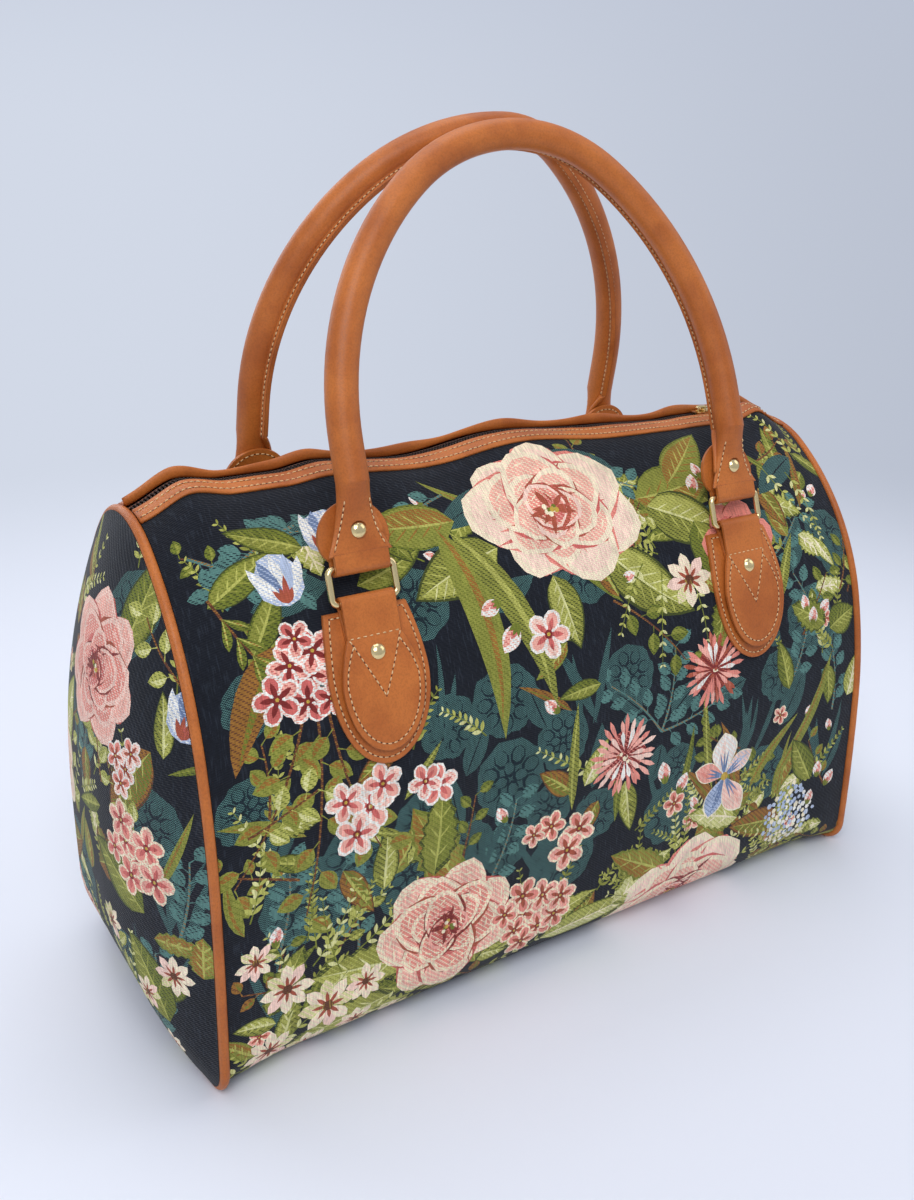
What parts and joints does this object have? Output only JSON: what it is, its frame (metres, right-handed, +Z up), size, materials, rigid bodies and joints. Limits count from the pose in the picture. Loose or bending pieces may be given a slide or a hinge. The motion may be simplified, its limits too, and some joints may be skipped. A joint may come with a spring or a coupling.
{
  "type": "carpet bag",
  "caption": "Soft holdall with rounded ends in floral tapestry cloth, a zip along the ridge and rolled leather handles that hang from metal rings.",
  "frame": {"origin": "middle of the base, on the surface that the bag stands on", "axes": "+X along the bag towards its right end seen from the front, -Y towards the front, +Z up"},
  "size_m": [0.5154, 0.2108, 0.4918],
  "materials": {
    "tapestry": "woven floral tapestry on a near-black navy ground",
    "tan_leather": "smooth tan leather with a soft sheen and cream stitching",
    "lining_cloth": "plain woven cotton",
    "base_stiffener": "plain board",
    "zip_tape": "brown woven tape",
    "zip_coil": "dark brown nylon coil",
    "pale_gold": "polished pale gold plating",
    "handle_filling": "cotton cord"
  },
  "bodies": {
    "bag": {"front_panel": "tapestry", "back_panel": "tapestry", "left_end_panel": "tapestry", "right_end_panel": "tapestry", "left_piping": "tan_leather", "right_piping": "tan_leather", "lining": "lining_cloth", "base_board": "base_stiffener", "front_zip_band": "tan_leather", "back_zip_band": "tan_leather", "front_zip_tape": "zip_tape", "back_zip_tape": "zip_tape", "front_zip_teeth": "zip_coil", "back_zip_teeth": "zip_coil", "front_left_tab_backing": "tan_leather", "front_left_tab_loop": "tan_leather", "front_left_tab_rivet": "pale_gold", "front_right_tab_backing": "tan_leather", "front_right_tab_loop": "tan_leather", "front_right_tab_rivet": "pale_gold", "back_left_tab_backing": "tan_leather", "back_left_tab_loop": "tan_leather", "back_left_tab_rivet": "pale_gold", "back_right_tab_backing": "tan_leather", "back_right_tab_loop": "tan_leather", "back_right_tab_rivet": "pale_gold"},
    "front_left_ring": {"front_left_ring": "pale_gold"},
    "front_right_ring": {"front_right_ring": "pale_gold"},
    "back_left_ring": {"back_left_ring": "pale_gold"},
    "back_right_ring": {"back_right_ring": "pale_gold"},
    "front_handle": {"front_handle_leather": "tan_leather", "front_handle_core": "handle_filling", "front_left_handle_rivet": "pale_gold", "front_right_handle_rivet": "pale_gold"},
    "back_handle": {"back_handle_leather": "tan_leather", "back_handle_core": "handle_filling", "back_left_handle_rivet": "pale_gold", "back_right_handle_rivet": "pale_gold"},
    "zip_slider": {"zip_slider": "pale_gold"},
    "zip_pull": {"zip_pull": "pale_gold"}
  },
  "joints": [
    {"name": "front_left_ring_swing", "type": "hinge", "parent": "bag", "child": "front_left_ring", "pos_m": [-0.128, -0.07777, 0.24825], "axis": [1, 0, 0], "range_deg": [0, 120]},
    {"name": "front_right_ring_swing", "type": "hinge", "parent": "bag", "child": "front_right_ring", "pos_m": [0.128, -0.07777, 0.24825], "axis": [1, 0, 0], "range_deg": [0, 120]},
    {"name": "front_handle_swing", "type": "hinge", "parent": "front_left_ring", "child": "front_handle", "pos_m": [-0.128, -0.07232, 0.26541], "axis": [1, 0, 0], "range_deg": [0, 45]},
    {"name": "back_left_ring_swing", "type": "hinge", "parent": "bag", "child": "back_left_ring", "pos_m": [-0.128, 0.07777, 0.24825], "axis": [-1, 0, 0], "range_deg": [0, 120]},
    {"name": "back_right_ring_swing", "type": "hinge", "parent": "bag", "child": "back_right_ring", "pos_m": [0.128, 0.07777, 0.24825], "axis": [-1, 0, 0], "range_deg": [0, 120]},
    {"name": "back_handle_swing", "type": "hinge", "parent": "back_left_ring", "child": "back_handle", "pos_m": [-0.128, 0.07353, 0.26574], "axis": [-1, 0, 0], "range_deg": [0, 45]},
    {"name": "zip_slide", "type": "slide", "parent": "bag", "child": "zip_slider", "axis": [-1, 0, 0], "range_m": [0, 0.32]},
    {"name": "zip_pull_swing", "type": "hinge", "parent": "zip_slider", "child": "zip_pull", "pos_m": [0.162, 0, 0.3031], "axis": [0, -1, 0], "range_deg": [0, 165]}
  ],
  "couplings": [
    {"joint": "front_right_ring_swing", "follows": "front_left_ring_swing", "ratio": 1},
    {"joint": "back_right_ring_swing", "follows": "back_left_ring_swing", "ratio": 1}
  ]
}
